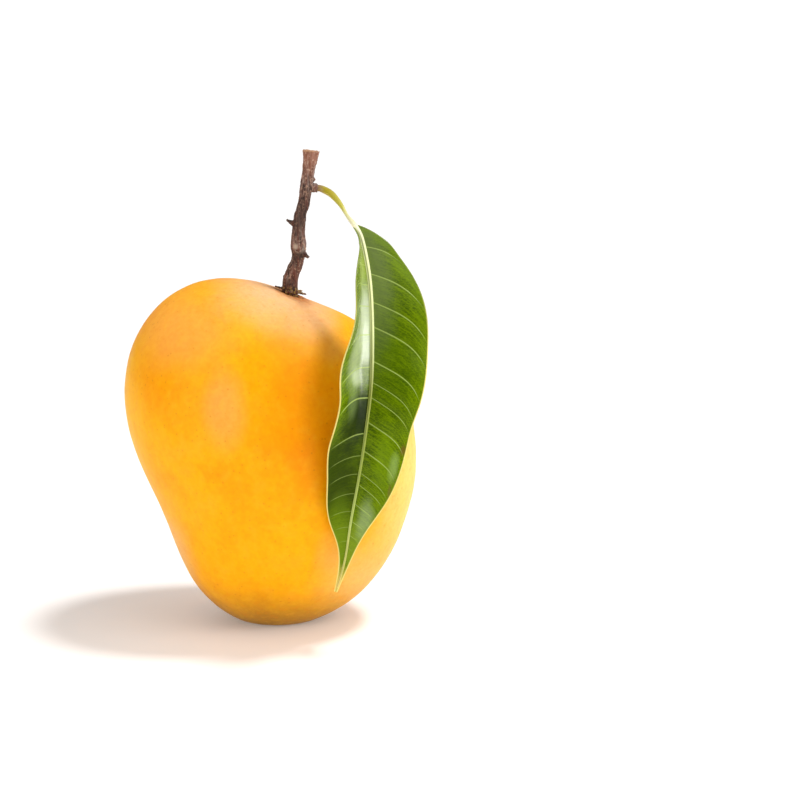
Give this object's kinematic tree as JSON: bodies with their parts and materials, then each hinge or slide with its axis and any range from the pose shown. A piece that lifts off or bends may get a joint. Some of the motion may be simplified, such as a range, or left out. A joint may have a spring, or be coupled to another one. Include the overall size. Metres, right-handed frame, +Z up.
{
  "type": "mango",
  "caption": "Ripe yellow-orange mango standing on its narrow end, picked with a woody stalk and a hanging green leaf.",
  "frame": {"origin": "the middle of the small flat spot underneath that the fruit rests on", "axes": "+Z up through the standing fruit towards its stalk, +X to the right and -Y to the front, where the leaf hangs"},
  "size_m": [0.0921, 0.0842, 0.1449],
  "materials": {
    "mango_skin": "satin",
    "mango_bark": "matte",
    "mango_leaf": "gloss"
  },
  "bodies": {
    "root": {"fruit": "mango_skin", "stalk": "mango_bark", "leaf": "mango_leaf"}
  },
  "joints": []
}
